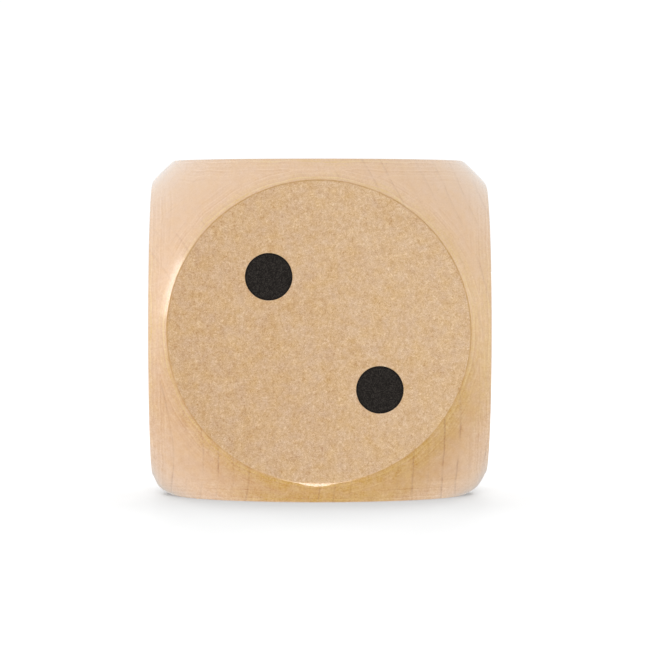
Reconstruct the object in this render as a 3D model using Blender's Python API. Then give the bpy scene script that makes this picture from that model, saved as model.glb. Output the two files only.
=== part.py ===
"""A giant wooden yard die.

A hardwood cube is turned and ground to a ball, which rounds off its edges and corners and leaves
a flat round land on each face. The round black pips are thin inlays, flush with the lands.

Metres, +Z up. The origin is the centre of the bottom land, on the surface that the die rests on.
Face 1 looks up, face 2 looks along -Y and face 3 along +X. Opposite faces add up to seven.
"""

from math import atan, atan2, cos, hypot, radians, sin, sqrt, tau

import bmesh
import bpy
from mathutils import Matrix, Vector

# Block
SIDE = 0.090
LAND_RADIUS = 0.0395  # of a land that lies half a side from the ball's centre
RIM_FILLET = 0.0012  # radius of the worn edge where a land meets the ball
BALL_SHIFT = Vector((-0.0003, 0, -0.0003))  # from the cube's centre to the turned ball's centre
BALL_RADIUS = hypot(SIDE / 2, LAND_RADIUS)
CUBE_CENTRE = Vector((0, 0, SIDE / 2))

# Pips
PIP_RADIUS = 0.0061
PIP_PITCH = 0.0146  # from one row or column of the pattern to the next
PIP_THICKNESS = 0.0005
GAP = 0.0003  # between a pip and the pocket that holds it, beside it and below it
CUTTER_RISE = 0.001  # how far a pocket's cutter stands above its land

# Fineness of the curved surfaces
TURN_STEPS = 48  # around a land; a multiple of 8, so that neighbouring faces share their vertices
FILLET_STEPS = 2
BAND_STEPS = 5
PIP_STEPS = 24
WELD = 1e-6
SHARP_ANGLE = radians(30)

# Each face's right and up directions, as seen from outside the die
FACES = {
    1: ((1, 0, 0), (0, 1, 0)),
    2: ((1, 0, 0), (0, 0, 1)),
    3: ((0, 1, 0), (0, 0, 1)),
    4: ((0, -1, 0), (0, 0, 1)),
    5: ((-1, 0, 0), (0, 0, 1)),
    6: ((1, 0, 0), (0, -1, 0)),
}

# Column and row of each place in the pattern
PLACES = {
    "upper_left": (-1, 1),
    "upper_right": (1, 1),
    "middle_left": (-1, 0),
    "centre": (0, 0),
    "middle_right": (1, 0),
    "lower_left": (-1, -1),
    "lower_right": (1, -1),
}
CORNERS = ["upper_left", "upper_right", "lower_left", "lower_right"]
PATTERNS = {
    1: ["centre"],
    2: ["upper_left", "lower_right"],
    3: ["upper_left", "centre", "lower_right"],
    4: CORNERS,
    5: CORNERS + ["centre"],
    6: CORNERS + ["middle_left", "middle_right"],
}

# How far a face's whole pattern sits off its true place: right, up, and turned anticlockwise
PATTERN_SHIFT = {2: (0.0011, -0.0006, radians(-0.5))}
NO_SHIFT = (0, 0, 0)


def clear_scene():
    for obj in list(bpy.data.objects):
        bpy.data.objects.remove(obj)


def finish_material(name, colour, roughness):
    material = bpy.data.materials.new(name)
    material.use_nodes = True
    shader = material.node_tree.nodes["Principled BSDF"]
    shader.inputs["Base Color"].default_value = (*colour, 1)
    shader.inputs["Roughness"].default_value = roughness
    shader.inputs["Metallic"].default_value = 0
    return material


def mesh_from(bm, name, material):
    """A closed mesh, smooth on its round surfaces and sharp at its corners."""
    mesh = bpy.data.meshes.new(name)
    bm.to_mesh(mesh)
    bm.free()
    mesh.materials.append(material)
    mesh.shade_smooth()
    mesh.set_sharp_from_angle(angle=SHARP_ANGLE)
    return mesh


def add_object(name, mesh, parent):
    obj = bpy.data.objects.new(name, mesh)
    obj.parent = parent
    bpy.context.scene.collection.objects.link(obj)
    return obj


def face_rotation(number):
    """The rotation whose X, Y and Z are the face's right, up and outward directions."""
    right, up = (Vector(direction) for direction in FACES[number])
    return Matrix((right, up, right.cross(up))).transposed()


def pattern_frame(number):
    """Where a face's pip pattern lies: X right, Y up and Z out of the face, at its land's height."""
    right, up, turn = PATTERN_SHIFT.get(number, NO_SHIFT)
    rotation = face_rotation(number)
    land_centre = CUBE_CENTRE + rotation.col[2] * SIDE / 2
    return (
        Matrix.Translation(land_centre)
        @ rotation.to_4x4()
        @ Matrix.Translation((right, up, 0))
        @ Matrix.Rotation(turn, 4, "Z")
    )


def pip_position(place):
    column, row = PLACES[place]
    return Vector((column * PIP_PITCH, row * PIP_PITCH, 0))


def add_disc(bm, radius, bottom, top, frame):
    middle = Matrix.Translation((0, 0, (bottom + top) / 2))
    bmesh.ops.create_cone(
        bm,
        cap_ends=True,
        segments=PIP_STEPS,
        radius1=radius,
        radius2=radius,
        depth=top - bottom,
        matrix=frame @ middle,
    )


def face_rings(height):
    """Rings of points from a land's rim outwards over the ball to the seams with the four faces
    beside it. They are in the face's own directions, from the ball's centre, and height is how far
    the land lies from that centre."""
    fillet_height = height - RIM_FILLET
    fillet_radius = sqrt((BALL_RADIUS - RIM_FILLET) ** 2 - fillet_height**2)
    rim_angle = atan2(fillet_radius, fillet_height)
    turns = [tau * step / TURN_STEPS for step in range(TURN_STEPS)]
    rings = []
    for step in range(FILLET_STEPS):
        tilt = rim_angle * step / FILLET_STEPS
        radius = fillet_radius + RIM_FILLET * sin(tilt)
        level = fillet_height + RIM_FILLET * cos(tilt)
        rings.append([Vector((radius * cos(turn), radius * sin(turn), level)) for turn in turns])
    for step in range(BAND_STEPS + 1):
        ring = []
        for turn in turns:
            seam_angle = atan(1 / max(abs(cos(turn)), abs(sin(turn))))
            angle = rim_angle + (seam_angle - rim_angle) * step / BAND_STEPS
            direction = Vector((sin(angle) * cos(turn), sin(angle) * sin(turn), cos(angle)))
            ring.append(BALL_RADIUS * direction)
        rings.append(ring)
    return rings


def add_face(bm, number):
    """The land of one face with its share of the ball around it."""
    rotation = face_rotation(number)
    height = SIDE / 2 - rotation.col[2].dot(BALL_SHIFT)
    ball_centre = CUBE_CENTRE + BALL_SHIFT
    rings = [
        [bm.verts.new(ball_centre + rotation @ point) for point in ring]
        for ring in face_rings(height)
    ]
    bm.faces.new(rings[0])
    for inner, outer in zip(rings, rings[1:]):
        for here in range(TURN_STEPS):
            there = (here + 1) % TURN_STEPS
            bm.faces.new((inner[here], outer[here], outer[there], inner[there]))


def make_block(material, parent):
    bm = bmesh.new()
    for number in FACES:
        add_face(bm, number)
    bmesh.ops.remove_doubles(bm, verts=bm.verts, dist=WELD)
    return add_object("die_block", mesh_from(bm, "die_block", material), parent)


def cut_pockets(block, material, parent):
    """Sinks a shallow round pocket for each pip into the block's lands."""
    bm = bmesh.new()
    for number, places in PATTERNS.items():
        for place in places:
            frame = pattern_frame(number) @ Matrix.Translation(pip_position(place))
            add_disc(bm, PIP_RADIUS + GAP, -PIP_THICKNESS - GAP, CUTTER_RISE, frame)
    cutter = add_object("pocket_cutter", mesh_from(bm, "pocket_cutter", material), parent)
    cutter.hide_render = True
    cutter.display_type = "WIRE"
    pockets = block.modifiers.new("pip_pockets", "BOOLEAN")
    pockets.operation = "DIFFERENCE"
    pockets.object = cutter
    normals = block.modifiers.new("flat_land_shading", "WEIGHTED_NORMAL")
    normals.keep_sharp = True


def make_pips(material, parent):
    """One thin disc for each pip, all of one mesh, on an empty that holds its face's pattern."""
    bm = bmesh.new()
    add_disc(bm, PIP_RADIUS, -PIP_THICKNESS, 0, Matrix())
    disc = mesh_from(bm, "pip", material)
    for number, places in PATTERNS.items():
        pattern = add_object(f"face_{number}_pattern", None, parent)
        pattern.matrix_local = pattern_frame(number)
        pattern.empty_display_size = PIP_PITCH
        for place in places:
            pip = add_object(f"face_{number}_pip_{place}", disc, pattern)
            pip.location = pip_position(place)


def main():
    clear_scene()
    wood = finish_material("lacquered_hardwood", (0.68, 0.45, 0.26), 0.45)
    ink = finish_material("black_ink", (0.025, 0.021, 0.019), 0.6)
    die = add_object("die", None, None)
    block = make_block(wood, die)
    cut_pockets(block, wood, die)
    make_pips(ink, die)


main()
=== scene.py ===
from math import atan, atan2, cos, exp, hypot, pi, radians, sin, sqrt, tau

import bmesh
import bpy
from mathutils import Matrix, Vector, noise
from mathutils.geometry import delaunay_2d_cdt


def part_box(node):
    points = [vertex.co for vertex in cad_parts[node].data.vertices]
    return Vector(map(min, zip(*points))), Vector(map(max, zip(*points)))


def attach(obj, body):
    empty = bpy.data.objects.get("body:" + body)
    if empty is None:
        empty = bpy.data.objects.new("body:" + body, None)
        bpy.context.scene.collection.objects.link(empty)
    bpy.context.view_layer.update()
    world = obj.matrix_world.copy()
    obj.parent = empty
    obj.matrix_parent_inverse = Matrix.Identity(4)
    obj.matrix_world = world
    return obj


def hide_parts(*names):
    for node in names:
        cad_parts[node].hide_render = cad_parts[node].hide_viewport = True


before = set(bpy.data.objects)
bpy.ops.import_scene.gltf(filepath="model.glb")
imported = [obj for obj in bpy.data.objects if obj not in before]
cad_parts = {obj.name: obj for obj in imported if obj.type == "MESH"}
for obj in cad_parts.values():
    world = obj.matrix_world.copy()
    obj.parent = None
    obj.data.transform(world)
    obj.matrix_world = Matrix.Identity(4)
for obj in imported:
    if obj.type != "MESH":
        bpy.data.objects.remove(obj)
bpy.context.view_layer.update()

# A giant wooden yard die in a white light tent. The block and its pips replace the CAD solids one
# for one: the block gets a fine mesh, with the unevenness of a hand-sanded rim, and every pip is a
# film of ink in a shallow bed. Lengths are in metres, and the wood's shader works in millimetres.

MM = 0.001

# ---------------------------------------------------------------- sizes

LOW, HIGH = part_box("die_block")
CENTRE = (LOW + HIGH) / 2
HALF_SIDE = (HIGH.z - LOW.z) / 2

# The turned ball, as on the CAD block
LAND_RADIUS = 39.5 * MM
RIM_FILLET = 1.2 * MM
BALL_SHIFT = Vector((-0.3, 0, -0.3)) * MM
BALL_RADIUS = hypot(HALF_SIDE, LAND_RADIUS)

# Unevenness of the sanded rim: its fillet varies by this share, with this many bumps to each unit of
# direction. At the bottom of the front face the rim has one flat spot, cut by a plane that leans out
# of the land and meets it this far from the land's middle.
RIM_UNEVENNESS = 0.22
RIM_BUMPS = 9
RIM_NOISE = 0.6, 2.0, 3  # dimension, lacunarity and octaves
FLAT_FACE, FLAT_TURN, FLAT_LEAN = 2, radians(-91.2), radians(30)
FLAT_START = 39.02 * MM

# The two lower side edges are turned less deep, and fullest in the middle of their length
EDGE_FULLNESS = 0.75 * MM
FULL_REACH = 0.5  # how far they stay fuller, as the Y of a direction from the ball's centre

# Ink film of a pip, and the bed that it lies in
EDGE_WAVER = 0.035 * MM
EDGE_BUMPS = 3  # to each unit of direction
EDGE_NOISE = 0.8, 2.0, 4  # dimension, lacunarity and octaves
BED_GAP = 0.03 * MM
BED_DEPTH = 0.5 * MM
FILM_SPREAD = 0.09 * MM  # how far the ink ran past a pip's edge
FILM_RISE = 0.02 * MM
FILM_BEAD = 0.012 * MM
FILM_BEAD_WIDTH = 0.12 * MM

# Fineness
TURN_STEPS = 240  # around a land; a multiple of 8, so that neighbouring faces share their vertices
LAND_INSETS = [inset * MM for inset in (2.6, 1.8, 1.2, 0.75, 0.4, 0.15)]
FILLET_STEPS = 8
BAND_STEPS = 16
BAND_CROWDING = 1.4  # how much closer the band's rings of points lie beside the rim
PIP_STEPS = 96
PIP_INSETS = [inset * MM for inset in (0, 0.04, 0.12, 0.25, 0.5, 1.2, 3)]
GRID_PITCH = 3 * MM
WELD = 1e-6
SHARP_ANGLE = radians(40)
EDGE_DISTANCE = "edge_distance"

# Each face's right and up directions, as seen from outside the die
FACES = {
    1: ((1, 0, 0), (0, 1, 0)),
    2: ((1, 0, 0), (0, 0, 1)),
    3: ((0, 1, 0), (0, 0, 1)),
    4: ((0, -1, 0), (0, 0, 1)),
    5: ((-1, 0, 0), (0, 0, 1)),
    6: ((1, 0, 0), (0, -1, 0)),
}
PIP_NODES = {
    number: sorted(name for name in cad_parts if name.startswith(f"face_{number}_pip"))
    for number in FACES
}

# ---------------------------------------------------------------- shapes


def face_rotation(number):
    """The rotation whose X, Y and Z are the face's right, up and outward directions."""
    right, up = (Vector(direction) for direction in FACES[number])
    return Matrix((right, up, right.cross(up))).transposed()


def new_bmesh():
    bm = bmesh.new()
    bm.verts.layers.float.new(EDGE_DISTANCE)
    return bm


def add_vertex(bm, point, edge_distance):
    """A vertex that remembers its distance from the edge that its material follows."""
    vertex = bm.verts.new(point)
    vertex[bm.verts.layers.float[EDGE_DISTANCE]] = edge_distance / MM
    return vertex


def add_piece(name, bm, material, node):
    """A piece that rides on the die and stands for one CAD node."""
    bmesh.ops.remove_doubles(bm, verts=bm.verts, dist=WELD)
    mesh = bpy.data.meshes.new(name)
    bm.to_mesh(mesh)
    bm.free()
    mesh.materials.append(material)
    mesh.shade_smooth()
    mesh.set_sharp_from_angle(angle=SHARP_ANGLE)
    piece = bpy.data.objects.new(name, mesh)
    bpy.context.scene.collection.objects.link(piece)
    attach(piece, "root")
    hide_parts(node)
    return piece


def face_column(number, height, turn):
    """Points from inside a land's rim out over the ball to the seam with the next face, each with
    its distance from the middle of the rim's fillet. They are in the face's own directions, from
    the ball's centre."""
    up = Vector((0, 0, 1))
    outward = Vector((cos(turn), sin(turn), 0))
    bumps = noise.fractal(face_rotation(number) @ (outward + up) * RIM_BUMPS, *RIM_NOISE)
    fillet = RIM_FILLET * (1 + RIM_UNEVENNESS * bumps)
    fillet_height = height - fillet
    fillet_radius = sqrt((BALL_RADIUS - fillet) ** 2 - fillet_height**2)
    rim_angle = atan2(fillet_radius, fillet_height)
    middle = fillet * rim_angle / 2
    seam_angle = atan(1 / max(abs(cos(turn)), abs(sin(turn))))
    column = [(outward * (fillet_radius - inset) + up * height, -inset) for inset in LAND_INSETS]
    for step in range(FILLET_STEPS):
        tilt = rim_angle * step / FILLET_STEPS
        point = outward * (fillet_radius + fillet * sin(tilt))
        column.append((point + up * (fillet_height + fillet * cos(tilt)), fillet * tilt))
    for step in range(BAND_STEPS + 1):
        share = (step / BAND_STEPS) ** BAND_CROWDING
        angle = rim_angle + (seam_angle - rim_angle) * share
        direction = outward * sin(angle) + up * cos(angle)
        fullness = edge_fullness(face_rotation(number) @ direction) * sin(share * pi / 2)
        point = direction * (BALL_RADIUS + fullness)
        column.append((point, 2 * middle + BALL_RADIUS * (angle - rim_angle)))
    if number == FLAT_FACE:
        column = [(flattened(point, height), distance) for point, distance in column]
    return [(point, distance - middle) for point, distance in column]


def edge_fullness(direction):
    """How far the block stands out past the ball in this direction."""
    if -direction.z < FULL_REACH or abs(direction.x) < FULL_REACH:
        return 0
    return EDGE_FULLNESS * max(0, 1 - (direction.y / FULL_REACH) ** 2)


def flattened(point, height):
    """The point, or where it lands on the rim's flat spot if it stands proud of that."""
    lean = Vector((cos(FLAT_TURN) * sin(FLAT_LEAN), sin(FLAT_TURN) * sin(FLAT_LEAN), cos(FLAT_LEAN)))
    start = Vector((cos(FLAT_TURN) * FLAT_START, sin(FLAT_TURN) * FLAT_START, height))
    return point - lean * max(0, lean.dot(point - start))


def pip_outline(node, rotation, spread):
    """A pip's centre and its slightly wavering outline, spread wider by a given length."""
    low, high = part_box(node)
    centre = rotation.transposed() @ ((low + high) / 2 - CENTRE)
    radius = max(high - low) / 2 + FILM_SPREAD
    outline = []
    for step in range(PIP_STEPS):
        outward = Vector((cos(tau * step / PIP_STEPS), sin(tau * step / PIP_STEPS), 0))
        waver = EDGE_WAVER * noise.fractal(centre / MM + outward * EDGE_BUMPS, *EDGE_NOISE)
        outline.append((outward, radius + spread + waver))
    return Vector((centre.x, centre.y, 0)), outline


def grid_points(radius, keep_clear):
    """A triangular grid of points inside a circle, clear of the discs in keep_clear."""
    rows = int(radius / GRID_PITCH) + 1
    points = []
    for row in range(-rows, rows + 1):
        for column in range(-rows, rows + 1):
            point = Vector((column + row % 2 / 2, row * sqrt(3) / 2)) * GRID_PITCH
            if point.length < radius and all((point - c).length > r for c, r in keep_clear):
                points.append(point)
    return points


def add_face(bm, number):
    """One land with its pip beds, its rim and its share of the ball."""
    rotation = face_rotation(number)
    ball_centre = CENTRE + BALL_SHIFT
    height = HALF_SIDE - rotation.col[2].dot(BALL_SHIFT)

    def vertex(point, distance):
        return add_vertex(bm, ball_centre + rotation @ point, distance)

    turns = [tau * step / TURN_STEPS for step in range(TURN_STEPS)]
    columns = [[vertex(*entry) for entry in face_column(number, height, t)] for t in turns]
    for here, there in zip(columns, columns[1:] + columns[:1]):
        for row in range(len(here) - 1):
            bm.faces.new((here[row], here[row + 1], there[row + 1], there[row]))

    to_ball = rotation.transposed() @ BALL_SHIFT
    to_ball.z = 0
    rim = [column[0] for column in columns]
    rim_radius = min((rotation.transposed() @ (v.co - ball_centre)).xy.length for v in rim)
    corners = list(rim)
    beds = []
    for node in PIP_NODES[number]:
        centre, outline = pip_outline(node, rotation, BED_GAP)
        centre = centre - to_ball
        rings = [
            [
                vertex(centre + outward * radius + Vector((0, 0, level)), centre.length - LAND_RADIUS)
                for outward, radius in outline
            ]
            for level in (height, height - BED_DEPTH)
        ]
        for i in range(PIP_STEPS):
            j = (i + 1) % PIP_STEPS
            bm.faces.new((rings[0][i], rings[1][i], rings[1][j], rings[0][j]))
        bm.faces.new(rings[1])
        corners += rings[0]
        beds.append((centre.xy, max(radius for outward, radius in outline)))

    clear = [(centre, radius + GRID_PITCH / 3) for centre, radius in beds]
    for point in grid_points(rim_radius - GRID_PITCH / 2, clear):
        corners.append(vertex(point.to_3d() + Vector((0, 0, height)), point.length - LAND_RADIUS))
    flat = [(rotation.transposed() @ (corner.co - ball_centre)).xy for corner in corners]
    loops = [(0, TURN_STEPS)] + [
        (TURN_STEPS + PIP_STEPS * i, TURN_STEPS + PIP_STEPS * (i + 1)) for i in range(len(beds))
    ]
    edges = [
        (i, i + 1 if i + 1 < end else start) for start, end in loops for i in range(start, end)
    ]
    triangles = delaunay_2d_cdt(flat, edges, [], 0, WELD, True)
    source = [origins[0] for origins in triangles[3]]
    for triangle in triangles[2]:
        middle = sum((triangles[0][i] for i in triangle), Vector((0, 0))) / 3
        if all((middle - centre).length > radius - 2 * EDGE_WAVER for centre, radius in beds):
            bm.faces.new([corners[source[i]] for i in triangle])


def make_block(material):
    bm = new_bmesh()
    for number in FACES:
        add_face(bm, number)
    return add_piece("die_wood", bm, material, "die_block")


def film_level(inset):
    """The ink film's height over the land, which rises in a fine bead along its edge."""
    if inset == 0:
        return 0
    return FILM_RISE + FILM_BEAD * exp(-(((inset - FILM_BEAD_WIDTH) / FILM_BEAD_WIDTH) ** 2))


def make_pip(number, node, material):
    """A closed film of ink that fills its bed and stands a hair proud of the land."""
    rotation = face_rotation(number)
    centre, outline = pip_outline(node, rotation, 0)
    bm = new_bmesh()

    def ring(inset, level):
        points = [centre + out * (radius - inset) for out, radius in outline]
        rise = Vector((0, 0, HALF_SIDE + level))
        return [add_vertex(bm, CENTRE + rotation @ (point + rise), inset) for point in points]

    rings = [ring(0, BED_GAP - BED_DEPTH)] + [ring(inset, film_level(inset)) for inset in PIP_INSETS]
    bm.faces.new(rings[0][::-1])
    for outer, inner in zip(rings, rings[1:]):
        for i in range(PIP_STEPS):
            j = (i + 1) % PIP_STEPS
            bm.faces.new((outer[i], outer[j], inner[j], inner[i]))
    bm.faces.new(rings[-1])
    return add_piece(node.replace("pip", "ink"), bm, material, node)


# ---------------------------------------------------------------- materials


class Graph:
    """Adds shader nodes to one tree. Each method returns an output to feed the next."""

    def __init__(self, tree):
        self.tree = tree
        self.nodes = tree.nodes

    def feed(self, socket, value):
        if isinstance(value, bpy.types.NodeSocket):
            self.tree.links.new(value, socket)
        elif value is not None:
            socket.default_value = value

    def add(self, kind, values=(), **settings):
        node = self.nodes.new(kind)
        for name, setting in settings.items():
            setattr(node, name, setting)
        for socket, value in zip(node.inputs, values):
            self.feed(socket, value)
        return node

    def math(self, operation, *values, clamp=False):
        return self.add("ShaderNodeMath", values, operation=operation, use_clamp=clamp).outputs[0]

    def vector(self, operation, *values):
        return self.add("ShaderNodeVectorMath", values, operation=operation).outputs[0]

    def dot(self, a, b):
        return self.add("ShaderNodeVectorMath", (a, b), operation="DOT_PRODUCT").outputs["Value"]

    def scaled(self, vector, factor):
        node = self.add("ShaderNodeVectorMath", operation="SCALE")
        self.feed(node.inputs[0], vector)
        self.feed(node.inputs["Scale"], factor)
        return node.outputs[0]

    def cells(self, vector, *size):
        """The vector measured in cells of this many millimetres, along each axis or along all."""
        x, y, z = size if len(size) > 1 else size * 3
        return self.vector("MULTIPLY", vector, (1 / x, 1 / y, 1 / z))

    def combine(self, x, y, z):
        return self.add("ShaderNodeCombineXYZ", (x, y, z)).outputs[0]

    def split(self, vector):
        return self.add("ShaderNodeSeparateXYZ", (vector,)).outputs

    def edge_distance(self):
        """Millimetres out from a land's rim over the wood, or in from the edge of an ink film."""
        return self.add("ShaderNodeAttribute", attribute_name=EDGE_DISTANCE).outputs["Fac"]

    def noise(self, vector, detail=2.0, roughness=0.5, distortion=0.0):
        node = self.add("ShaderNodeTexNoise")
        self.feed(node.inputs["Vector"], vector)
        node.inputs["Scale"].default_value = 1
        node.inputs["Detail"].default_value = detail
        node.inputs["Roughness"].default_value = roughness
        node.inputs["Distortion"].default_value = distortion
        return node.outputs["Fac"]

    def swing(self, vector, amount, **settings):
        """Noise that swings evenly about nought, by about this amount each way."""
        centred = self.math("SUBTRACT", self.noise(vector, **settings), 0.5)
        return self.math("MULTIPLY", centred, 2 * amount)

    def worms(self, vector):
        """Thin crooked lines."""
        swing = self.swing(vector, 1.0, detail=1.0, distortion=1.5)
        return self.fade(self.math("ABSOLUTE", swing), 0.0, 0.09, 1.0, 0.0)

    def patches(self, vector, cell, detail, *levels):
        """Noise that fades between two of its levels: start and end, and what it is there."""
        return self.fade(self.noise(self.cells(vector, *cell), detail=detail), *levels)

    def random(self, value):
        node = self.add("ShaderNodeTexWhiteNoise", noise_dimensions="1D")
        self.feed(node.inputs["W"], value)
        return node.outputs["Value"]

    def fade(self, value, start, end, low=0.0, high=1.0):
        """A smooth step from low to high, as value goes from start to end."""
        node = self.add("ShaderNodeMapRange", (value, start, end, low, high))
        node.interpolation_type = "SMOOTHSTEP"
        return node.outputs[0]

    def mix(self, factor, a, b, blend="MIX"):
        node = self.add("ShaderNodeMix", data_type="RGBA", blend_type=blend)
        self.feed(node.inputs[0], factor)
        self.feed(node.inputs[6], a)
        self.feed(node.inputs[7], b)
        return node.outputs[2]

    def blend(self, factor, a, b):
        node = self.add("ShaderNodeMix", (factor, None, a, b), data_type="FLOAT")
        self.feed(node.inputs[0], factor)
        self.feed(node.inputs[2], a)
        self.feed(node.inputs[3], b)
        return node.outputs[0]

    def sum(self, *values):
        total = values[0]
        for value in values[1:]:
            total = self.math("ADD", total, value)
        return total

    def product(self, *values):
        total = values[0]
        for value in values[1:]:
            total = self.math("MULTIPLY", total, value)
        return total

    def position(self):
        """Where the shaded point is in the row frame, in millimetres."""
        return self.scaled(self.add("ShaderNodeTexCoord").outputs["Object"], 1 / MM)

    def bump(self, height, distance):
        node = self.add("ShaderNodeBump")
        node.inputs["Strength"].default_value = 1
        node.inputs["Distance"].default_value = distance
        self.feed(node.inputs["Height"], height)
        return node.outputs["Normal"]


def new_material(name):
    material = bpy.data.materials.new(name)
    material.use_nodes = True
    return material, Graph(material.node_tree), material.node_tree.nodes["Principled BSDF"]


# Colours of the wood, as reflectances
LONG_GRAIN = (0.620, 0.367, 0.175, 1)
END_GRAIN = (0.658, 0.431, 0.238, 1)
# The glint carries the wood's lighter and darker tone, and on the end-grain lands the painted glints
# and shade of its raised grain
TONE_AND_GLINT = Vector((0.52, 0.57, 0.47))  # what fine light and dark add, which is nearly white
TINT = Vector((0.005, -0.02, -0.065))  # from pale to warm, which the wood drifts between
# Gold beside the rims; where it widens to the lower right it is painted shade
RIM_GOLD_AND_SHADE = (0.59, 0.35, 0.098, 1)
LATEWOOD = (0.400, 0.190, 0.070, 1)
# The rim line's ochre is a painted dark reflection
RIM_REFLECTION_OCHRE = (0.530, 0.300, 0.085, 1)

# Where one part of the wood fades into the next, in millimetres
LAND_TO_BAND = -0.1, 0.25  # out from a rim
SIDE_TO_END = 43.9, 44.2  # along Y, either way
MIDDLE_TO_ENDS = 31, 40  # along Y, either way
# Between these heights the grain goes from its strongest to its plain strength
GRAIN_BOOST_HEIGHTS = 10, 60  # above the ground
RIM_TO_PLAIN = 0, 12  # out from a rim
# Painted light: the wood is made lighter outward from the pith, so towards +X, between these radii
SIDE_LIGHT_DIM, SIDE_LIGHT_FULL = 70, 160  # out from the pith

MOST_GRAIN_BOOST = 1.8  # how much more the grain shows near the ground
PLAIN_SHARE = 0.35  # how much of the finest grain shows on the bands, far from the rims

# Growth rings lie around a pith that runs along Y, far to the left of the die
PITH_X, PITH_Z = -115, 13
RING_WIDTH = 4.0
RING_START = 136.2  # radius at which one year ends
MEAN_RADIUS = 125
RING_DRIFT, RING_RIPPLE = 2.2, 0.3  # how far a ring strays, over a long way and over a short one
DRIFT_CELL, RIPPLE_CELL = (30, 150, 30), (5, 40, 5)
YEAR_STRENGTHS = 0.1, 0.7, 0.3, 1.0  # two levels of a random number, and a year's line there
LINE_RISE, LINE_FALL = (0.79, 0.96), (0.965, 1.0)  # of the line of latewood, as shares of a year

# Noises that swing evenly about nought: size of a cell along X, Y and Z, in millimetres; how many
# finer noises are added; how strong those are
SWINGS = {
    "fibres": ((0.4, 5, 0.4), 3, 0.6),
    "streaks": ((1.6, 55, 1.6), 2, 0.5),
    "clouds": ((9, 15, 9), 3, 0.5),
    "mottle": ((1.6, 2.2, 1.6), 4, 0.8),
    "swell": ((3, 9, 3), 3, 0.5),
    "tints": ((3, 6, 3), 3, 0.6),
    "speckle": ((0.27, 0.27, 0.27), 0, 0.5),
    "handling": ((16, 16, 16), 3, 0.5),
}

# Noises that fade between two levels: size of a cell; how many finer noises are added; the two
# levels; what there is below the first and above the second
PATCHES = {
    "pores": ((0.25, 2.2, 0.25), 1, 0.62, 0.78, 0.0, 1.0),
    "rays": ((5, 0.35, 1.6), 1, 0.64, 0.8, 0.0, 1.0),
    "faint_lines": ((18, 25, 18), 1, 0.4, 0.56, 0.12, 1.0),
    "broken_lines": ((2, 6, 4), 3, 0.35, 0.6, 0.35, 1.0),
    "marks": ((9, 9, 9), 1, 0.35, 0.6, 0.2, 1.0),
    "gold_and_shade": ((2.5, 2.5, 2.5), 2, 0.3, 0.55, 0.5, 1.0),
    "rim_reflection": ((2.5, 2.5, 2.5), 3, 0.3, 0.7, 0.1, 0.7),
}

# Fine textures of the end-grain lands
CRINKLE_CELL, WORM_CELL, THREAD_CELL = 0.9, 0.8, 1.1

# Turning marks: from one to the next, how far they wander and over what distance, and how they
# weaken out from a rim
MARK_PITCH, MARK_WANDER, WANDER_CELL = 0.75, 0.8, 7
MARK_FADE = 2.5, 9.0, 1.0, 0.3

# Gold beside the rims, from the upper left to the lower right of a land: the gold of the turned
# rings, and where it widens to the lower right, painted shade for the shaded floor that the lacquer
# reflects there
GOLD_TURN = -75, 20  # x less z
GOLD_START, GOLD_WIDTHS = 0.5, (4.5, 13.5)
GOLD_BETWEEN_RINGS = 0.0, 0.65
GOLD_RING_EDGE = 0.15
GOLD_RAGGEDNESS = 4.0

TINT_SHARES = 0.8, 1.2  # on long grain, on end grain

# How far each texture takes the wood to the colour of latewood: on long grain, on end grain. On long
# grain the lines also grow stronger towards the ground, and so do the swell, mottle and fibres in
# LIGHTENING.
DARKENING = {"lines": (0.36, 0.06), "pores": (0.25, 0), "rays": (0.25, 0)}

# How much of the glint each texture adds, or takes away: on long grain, on end grain. On the
# end-grain lands the mottle, crinkle, speckle, worms and threads are painted light and shade of the
# raised grain's relief.
LIGHTENING = {
    # painted light, lighter towards +X
    "side_light": (0.045, 0.045),
    "clouds": (0.04, 0.04),
    "swell": (0.12, 0),
    "mottle": (0.12, 0.26),
    "fibres": (0.18, 0),
    "streaks": (0.03, 0),
    "crinkle_swing": (0, 0.32),
    "speckle": (0, 0.14),
    "worms": (0, -0.2),
    "threads": (0, 0.2),
    "marks": (0.4, 0.4),
}

# How far each texture rises, as a share of RELIEF_HEIGHT: on long grain, on end grain
RELIEF = {
    "crinkle": (1, 1),
    "marks": (0.3, 0.3),
    "ripples": (1.2, 1.2),
    "fibres": (0.05, 0),
    "pores": (-0.12, 0),
    "lines": (-0.25, 0),
}
RELIEF_HEIGHT = 0.05 * MM
LAND_CRINKLE, BAND_CRINKLE = 0.25, (0.8, 3.5, 0.45, 0.08)  # on long grain; how it falls from a rim

# The painted dark reflection on each rim comes in and goes out again over these distances
RIM_REFLECTION_IN, RIM_REFLECTION_OUT = (-0.15, 0.1), (0.15, 0.45)

BAND_ROUGHNESS, LONG_GRAIN_ROUGHNESS, END_GRAIN_ROUGHNESS = 0.32, 0.4, 0.6
HANDLING_ROUGHNESS = 0.05
CRINKLE_ROUGHNESS = 0.08, 0.02  # on lands, on bands
COAT_ROUGHNESS = 0.12


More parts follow.
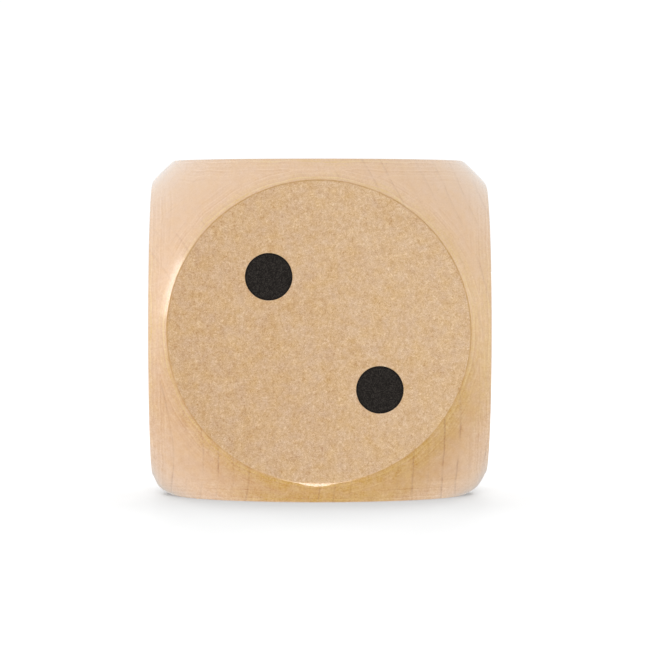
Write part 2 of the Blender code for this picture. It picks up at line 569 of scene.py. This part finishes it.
def growth_rings(graph, place):
    """How dark the latewood lines are, and a place measured along the rings: out from the pith,
    around it, and along the grain."""
    x, y, z = graph.split(place)
    right, up = graph.math("SUBTRACT", x, PITH_X), graph.math("SUBTRACT", z, PITH_Z)
    span = graph.combine(right, 0, up)
    length = graph.add("ShaderNodeVectorMath", (span,), operation="LENGTH").outputs["Value"]
    drift = graph.swing(graph.cells(place, *DRIFT_CELL), RING_DRIFT, detail=1.0)
    ripple = graph.swing(graph.cells(place, *RIPPLE_CELL), RING_RIPPLE, detail=2.0)
    radius = graph.sum(length, drift, ripple)
    phase = graph.math("DIVIDE", graph.math("SUBTRACT", radius, RING_START), RING_WIDTH)
    year = graph.math("FRACT", phase)
    lines = graph.product(
        graph.fade(year, *LINE_RISE),
        graph.fade(year, *LINE_FALL, 1.0, 0.0),
        graph.fade(graph.random(graph.math("FLOOR", phase)), *YEAR_STRENGTHS),
        graph.patches(place, *PATCHES["faint_lines"]),
        graph.patches(place, *PATCHES["broken_lines"]),
    )
    around = graph.math("MULTIPLY", graph.math("ARCTAN2", up, right), MEAN_RADIUS)
    return lines, graph.combine(radius, around, y)


def turning_marks(graph, place, from_rim):
    """Marks that run round the ball, parallel to each rim, and how far they wander."""
    wander = graph.swing(graph.cells(place, WANDER_CELL), MARK_WANDER, detail=1.0)
    groove = graph.math("DIVIDE", graph.math("ADD", from_rim, wander), MARK_PITCH)
    return graph.swing(graph.combine(groove, 0, 0), 1.0, detail=2.0), wander


def rim_gold_and_shade(graph, place, from_rim, turned, wander):
    """Gold beside the rims in the end grain, in fine turned rings that close up to the lower right.
    Towards the lower right it is painted shade, for the shaded floor that the lacquer reflects there."""
    x, y, z = graph.split(place)
    # Painted shade, which grows towards the lower right
    shaded_lower_right = graph.fade(graph.math("SUBTRACT", x, z), *GOLD_TURN)
    ragged_rim = graph.math("MULTIPLY_ADD", wander, GOLD_RAGGEDNESS, from_rim)
    beyond = graph.fade(ragged_rim, GOLD_START, graph.blend(shaded_lower_right, *GOLD_WIDTHS))
    between_rings = graph.blend(shaded_lower_right, *GOLD_BETWEEN_RINGS)
    return graph.product(
        graph.math("SUBTRACT", 1.0, beyond),
        graph.fade(turned, -GOLD_RING_EDGE, GOLD_RING_EDGE, between_rings),
        graph.patches(place, *PATCHES["gold_and_shade"]),
        graph.fade(graph.math("ABSOLUTE", y), *MIDDLE_TO_ENDS),
    )


def layers(graph, textures, amounts, end_land, long_shares):
    """The sum of some textures by their amounts. A texture may have a share, which goes with its
    amount on long grain."""
    total = []
    for name, (long_grain, end_grain) in amounts.items():
        if name in long_shares:
            long_grain = graph.math("MULTIPLY", long_shares[name], long_grain)
        amount = graph.blend(end_land, long_grain, end_grain)
        total.append(graph.math("MULTIPLY", textures[name], amount))
    return graph.sum(*total)


def wood_textures(graph, place, from_rim, band):
    """Each texture of the wood by its name."""
    textures = {
        name: graph.swing(graph.cells(place, *cell), 1.0, detail=detail, roughness=roughness)
        for name, (cell, detail, roughness) in SWINGS.items()
    }
    lines, ring_place = growth_rings(graph, place)
    crinkle_place = graph.cells(place, CRINKLE_CELL)
    crinkle = graph.noise(crinkle_place, detail=3.0, roughness=0.9, distortion=0.8)
    turned, wander = turning_marks(graph, place, from_rim)
    mark_patches = graph.patches(place, *PATCHES["marks"])
    textures["lines"] = lines
    textures["pores"] = graph.patches(place, *PATCHES["pores"])
    textures["rays"] = graph.patches(ring_place, *PATCHES["rays"])
    # Painted light, which grows outward from the pith towards +X
    textures["side_light"] = graph.fade(graph.split(ring_place)[0], SIDE_LIGHT_DIM, SIDE_LIGHT_FULL, -1.0, 1.0)
    textures["crinkle"] = crinkle
    textures["crinkle_swing"] = graph.math("MULTIPLY", graph.math("SUBTRACT", crinkle, 0.5), 2.0)
    textures["worms"] = graph.worms(graph.cells(place, WORM_CELL))
    textures["threads"] = graph.worms(graph.cells(place, THREAD_CELL))
    textures["marks"] = graph.product(turned, mark_patches, graph.fade(from_rim, *MARK_FADE), band)
    textures["ripples"] = graph.math("MULTIPLY", textures["swell"], band)
    textures["gold_and_shade"] = graph.math("MULTIPLY", rim_gold_and_shade(graph, place, from_rim, turned, wander), band)
    return textures


def wood_material():
    material, graph, shader = new_material("lacquered_hardwood")
    place = graph.position()
    from_rim = graph.edge_distance()
    _, y, z = graph.split(place)

    # Which surface this is: a flat land, and of the lands those that cut across the grain
    band = graph.fade(from_rim, *LAND_TO_BAND)
    land = graph.math("SUBTRACT", 1.0, band)
    end_land = graph.math("MULTIPLY", land, graph.fade(graph.math("ABSOLUTE", y), *SIDE_TO_END))
    textures = wood_textures(graph, place, from_rim, band)

    # The grain shows more towards the ground, and its finest part shows less away from the rims
    grain_boost = graph.fade(z, *GRAIN_BOOST_HEIGHTS, MOST_GRAIN_BOOST, 1.0)
    fine_grain_boost = graph.math("MULTIPLY", grain_boost, graph.fade(from_rim, *RIM_TO_PLAIN, 1.0, PLAIN_SHARE))

    colour = graph.mix(end_land, LONG_GRAIN, END_GRAIN)
    # Gold of the turned rings, and painted shade where it widens to the lower right
    colour = graph.mix(textures["gold_and_shade"], colour, RIM_GOLD_AND_SHADE)
    tints = graph.math("MULTIPLY", textures["tints"], graph.blend(end_land, *TINT_SHARES))
    colour = graph.vector("ADD", colour, graph.scaled(TINT, tints))
    darkness = layers(graph, textures, DARKENING, end_land, {"lines": grain_boost})
    colour = graph.mix(darkness, colour, LATEWOOD)
    extra_grain_boost = graph.math("SUBTRACT", grain_boost, 1.0)
    long_shares = {"swell": extra_grain_boost, "mottle": fine_grain_boost, "fibres": fine_grain_boost}
    # Lighter and darker tone, and on the end-grain lands painted glints and shade of the raised grain
    light = layers(graph, textures, LIGHTENING, end_land, long_shares)
    colour = graph.vector("ADD", colour, graph.scaled(TONE_AND_GLINT, light))

    # A thin ochre line along the rim: a painted dark reflection, for the darker line that the rim's
    # fillet shows where it reflects the dark room
    rim_reflection = graph.product(
        graph.fade(from_rim, *RIM_REFLECTION_IN),
        graph.fade(from_rim, *RIM_REFLECTION_OUT, 1.0, 0.0),
        graph.patches(place, *PATCHES["rim_reflection"]),
    )
    graph.feed(shader.inputs["Base Color"], graph.mix(rim_reflection, colour, RIM_REFLECTION_OCHRE))

    long_roughness = graph.blend(land, BAND_ROUGHNESS, LONG_GRAIN_ROUGHNESS)
    crinkle_roughness = graph.blend(band, *CRINKLE_ROUGHNESS)
    roughness = graph.sum(
        graph.blend(end_land, long_roughness, END_GRAIN_ROUGHNESS),
        graph.math("MULTIPLY", textures["handling"], HANDLING_ROUGHNESS),
        graph.math("MULTIPLY", textures["crinkle_swing"], crinkle_roughness),
    )
    graph.feed(shader.inputs["Roughness"], roughness)

    crinkle_share = graph.blend(land, graph.fade(from_rim, *BAND_CRINKLE), LAND_CRINKLE)
    relief = layers(graph, textures, RELIEF, end_land, {"crinkle": crinkle_share})
    graph.feed(shader.inputs["Normal"], graph.bump(relief, RELIEF_HEIGHT))
    graph.feed(shader.inputs["Coat Weight"], band)
    shader.inputs["Coat Roughness"].default_value = COAT_ROUGHNESS
    return material


INK_THICK = (0.012, 0.009, 0.007, 1)
INK_THIN = (0.041, 0.034, 0.029, 1)
INK_CELL, SPECK_CELL = 0.75, 0.3
SPECK_SHARE = 0.6
INK_FADE = 0.35, 0.75  # of the noise, from thick to thin
INK_EDGE = 0.15, 0.7, 0.15, 1.0  # millimetres in from the edge, and how much of the ink thins there
INK_CRINKLE = 0.3, 0.7  # of the noise, from smooth to rough
INK_ROUGHNESS = 0.5, 0.62
INK_RELIEF = 0.04 * MM
INK_SPECULAR = 0.2


def ink_material():
    material, graph, shader = new_material("black_ink")
    place = graph.position()
    from_edge = graph.edge_distance()
    crinkle = graph.noise(graph.cells(place, INK_CELL), detail=3.0, roughness=0.6, distortion=1.2)
    specks = graph.swing(graph.cells(place, SPECK_CELL), SPECK_SHARE, detail=1.0)
    thin = graph.fade(graph.sum(crinkle, specks), *INK_FADE)
    inside = graph.fade(from_edge, *INK_EDGE)
    colour = graph.mix(graph.math("MULTIPLY", thin, inside), INK_THICK, INK_THIN)
    graph.feed(shader.inputs["Base Color"], colour)
    graph.feed(shader.inputs["Roughness"], graph.fade(crinkle, *INK_CRINKLE, *INK_ROUGHNESS))
    graph.feed(shader.inputs["Normal"], graph.bump(crinkle, INK_RELIEF))
    shader.inputs["Specular IOR Level"].default_value = INK_SPECULAR
    return material


def floor_material():
    """A white sweep. Its own reflectance is low and its suns are strong, so that the die's warm glow
    on it is faint."""
    material, _, shader = new_material("white_sweep")
    shader.inputs["Base Color"].default_value = FLOOR_COLOUR
    shader.inputs["Roughness"].default_value = 1
    shader.inputs["Specular IOR Level"].default_value = 0
    shader.inputs["Emission Color"].default_value = (1, 1, 1, 1)
    shader.inputs["Emission Strength"].default_value = FLOOR_GLOW
    return material


# ---------------------------------------------------------------- stage

FLOOR_RADIUS = 8
FLOOR_STEPS = 96
FLOOR_COLOUR = (0.1, 0.1, 0.1, 1)
FLOOR_GLOW = 0.327  # radiance that the floor gives off, so that its darkest shadow stays pale

# Soft suns that light only the floor, and light it past white. Each stands at both sides of the
# plane through the camera and the die: how far it is turned from behind the die, and its angle up
# from the floor, in degrees; and what both together add to the radiance of the open floor.
FLOOR_SUNS = {
    (0, 12): 0.161,
    (25, 20): 0.095,
    (25, 36): 0.046,
    (25, 52): 0.019,
    (50, 36): 0.027,
    (50, 52): 0.076,
    (75, 52): 0.087,
    (150, 30): 0.042,
    (180, 20): 0.227,
}
SUN_SPREAD = radians(20)

# The tent's radiance: what lights the die, and how it grows along a direction
TENT_FILL = 1.045
FILL_SLOPE = Vector((-0.06, 0, -0.24))
TENT_BACKDROP = 1.05  # radiance that the camera sees

# What the lacquer reflects, as radiances. The tent is bright above and dimmer below, and brighter on
# the left than on the right. It fades towards the back, steadily above, and below only close to
# straight behind. It is open at the front, where the camera stands in a dark room, and the room's
# dark floor shows below.
TENT_LOW, TENT_HIGH = 1.15, 2.4
TENT_TILT = -0.5, 0.1  # z of a direction, from low to high
TENT_LEFT_GAIN = 0.2
TENT_BACK_LOSS_LOW, TENT_BACK_LOSS_HIGH = 0.75, 0.63
TENT_BACK_TILT = -0.25, 0.0
TENT_BACK_POWER = 3
TENT_OPENING = -0.4, -0.15  # y of a direction, from the dark room to the tent
TENT_ROOM = 0.04
DARK_FLOOR = Vector((0.25, -0.35, -0.9))
DARK_FLOOR_EDGE = 0.92, 0.3  # cosine of the angle off its middle

# Light panels that the lacquer also reflects: angle off the camera's direction, turn around it
# (anticlockwise from the right), half of each extent, softness of the edges, in degrees; radiance
PANELS = {
    "left": (83.5, 164, 4.5, 11, 2.5, 6),
    "right": (83, 16, 3, 13, 2, 1.0),
    "low_front": (60, -91, 9, 12, 4, 9),
}

CAMERA_PLACE = Vector((-0.0056, -1.1668, 0.0689))
CAMERA_TARGET = Vector((0.00155, 0, 0.04567))
CAMERA_LENS, CAMERA_SENSOR = 238.65, 36


def make_floor():
    bm = bmesh.new()
    bmesh.ops.create_circle(bm, cap_ends=True, segments=FLOOR_STEPS, radius=FLOOR_RADIUS)
    mesh = bpy.data.meshes.new("floor")
    bm.to_mesh(mesh)
    bm.free()
    mesh.materials.append(floor_material())
    floor = bpy.data.objects.new("floor", mesh)
    floor.location.z = LOW.z
    floor.visible_glossy = floor.visible_diffuse = False
    bpy.context.scene.collection.objects.link(floor)
    return floor


def light_floor(floor):
    lit = bpy.data.collections.new("lit_by_suns")
    lit.objects.link(floor)
    for (turn, angle), radiance in FLOOR_SUNS.items():
        for side in (-1, 1):
            light = bpy.data.lights.new(f"floor_sun_{side * turn}_{angle}", "SUN")
            light.angle = SUN_SPREAD
            light.energy = radiance / 2 / FLOOR_COLOUR[0] * pi / sin(radians(angle))
            sun = bpy.data.objects.new(light.name, light)
            sun.rotation_euler = (radians(angle - 90), 0, radians(side * turn))
            sun.light_linking.receiver_collection = lit
            bpy.context.scene.collection.objects.link(sun)


def panel_light(graph, off_axis, turn, panel):
    """One panel's share of the tent's reflected light."""
    middle, middle_turn, half, half_turn, soft, radiance = panel
    light = radiance
    for angle, centre, extent in ((off_axis, middle, half), (turn, middle_turn, half_turn)):
        off = graph.math("ABSOLUTE", graph.math("SUBTRACT", angle, radians(centre)))
        edge = graph.fade(off, radians(extent + soft), radians(extent - soft))
        light = graph.math("MULTIPLY", light, edge)
    return light


def reflected_tent(graph):
    """The tent's radiance as the lacquer reflects it, in each direction."""
    direction = graph.add("ShaderNodeTexCoord").outputs["Generated"]
    x, y, z = graph.split(direction)
    tent = graph.fade(z, *TENT_TILT, TENT_LOW, TENT_HIGH)
    left = graph.math("MULTIPLY_ADD", x, -TENT_LEFT_GAIN, 1.0)
    behind = graph.math("MAXIMUM", y, 0.0)
    loss = graph.blend(
        graph.fade(z, *TENT_BACK_TILT),
        graph.math("MULTIPLY", graph.math("POWER", behind, TENT_BACK_POWER), TENT_BACK_LOSS_LOW),
        graph.math("MULTIPLY", behind, TENT_BACK_LOSS_HIGH),
    )
    back = graph.math("SUBTRACT", 1.0, loss)
    lit_floor = graph.fade(graph.dot(direction, DARK_FLOOR), *DARK_FLOOR_EDGE)
    opening = graph.fade(y, *TENT_OPENING)
    tent = graph.product(tent, left, back, lit_floor, opening)
    off_axis = graph.math("ARCCOSINE", graph.math("MULTIPLY", y, -1.0))
    turn = graph.math("ARCTAN2", z, x)
    panels = [panel_light(graph, off_axis, turn, panel) for panel in PANELS.values()]
    return graph.sum(tent, TENT_ROOM, *panels)


def make_world():
    """A white tent, which lights the die evenly and is plain white for the camera."""
    world = bpy.data.worlds.new("light_tent")
    world.use_nodes = True
    world.cycles.sampling_method = "NONE"
    bpy.context.scene.world = world
    graph = Graph(world.node_tree)
    background = world.node_tree.nodes["Background"]
    background.inputs["Color"].default_value = (1, 1, 1, 1)
    ray = graph.add("ShaderNodeLightPath").outputs
    direction = graph.add("ShaderNodeTexCoord").outputs["Generated"]
    fill = graph.math("ADD", graph.dot(direction, FILL_SLOPE), TENT_FILL)
    strength = graph.blend(ray["Is Glossy Ray"], fill, reflected_tent(graph))
    strength = graph.blend(ray["Is Camera Ray"], strength, TENT_BACKDROP)
    graph.feed(background.inputs["Strength"], strength)


def make_camera():
    camera = bpy.data.objects.new("camera", bpy.data.cameras.new("camera"))
    camera.data.lens, camera.data.sensor_width = CAMERA_LENS, CAMERA_SENSOR
    camera.location = CAMERA_PLACE
    camera.rotation_euler = (CAMERA_TARGET - CAMERA_PLACE).to_track_quat("-Z", "Y").to_euler()
    bpy.context.scene.collection.objects.link(camera)
    bpy.context.scene.camera = camera


# ---------------------------------------------------------------- assembly

wood, ink = wood_material(), ink_material()
make_block(wood)
for face_number, nodes in PIP_NODES.items():
    for pip_node in nodes:
        make_pip(face_number, pip_node, ink)

light_floor(make_floor())
make_world()
make_camera()
bpy.context.scene.view_settings.view_transform = "Standard"
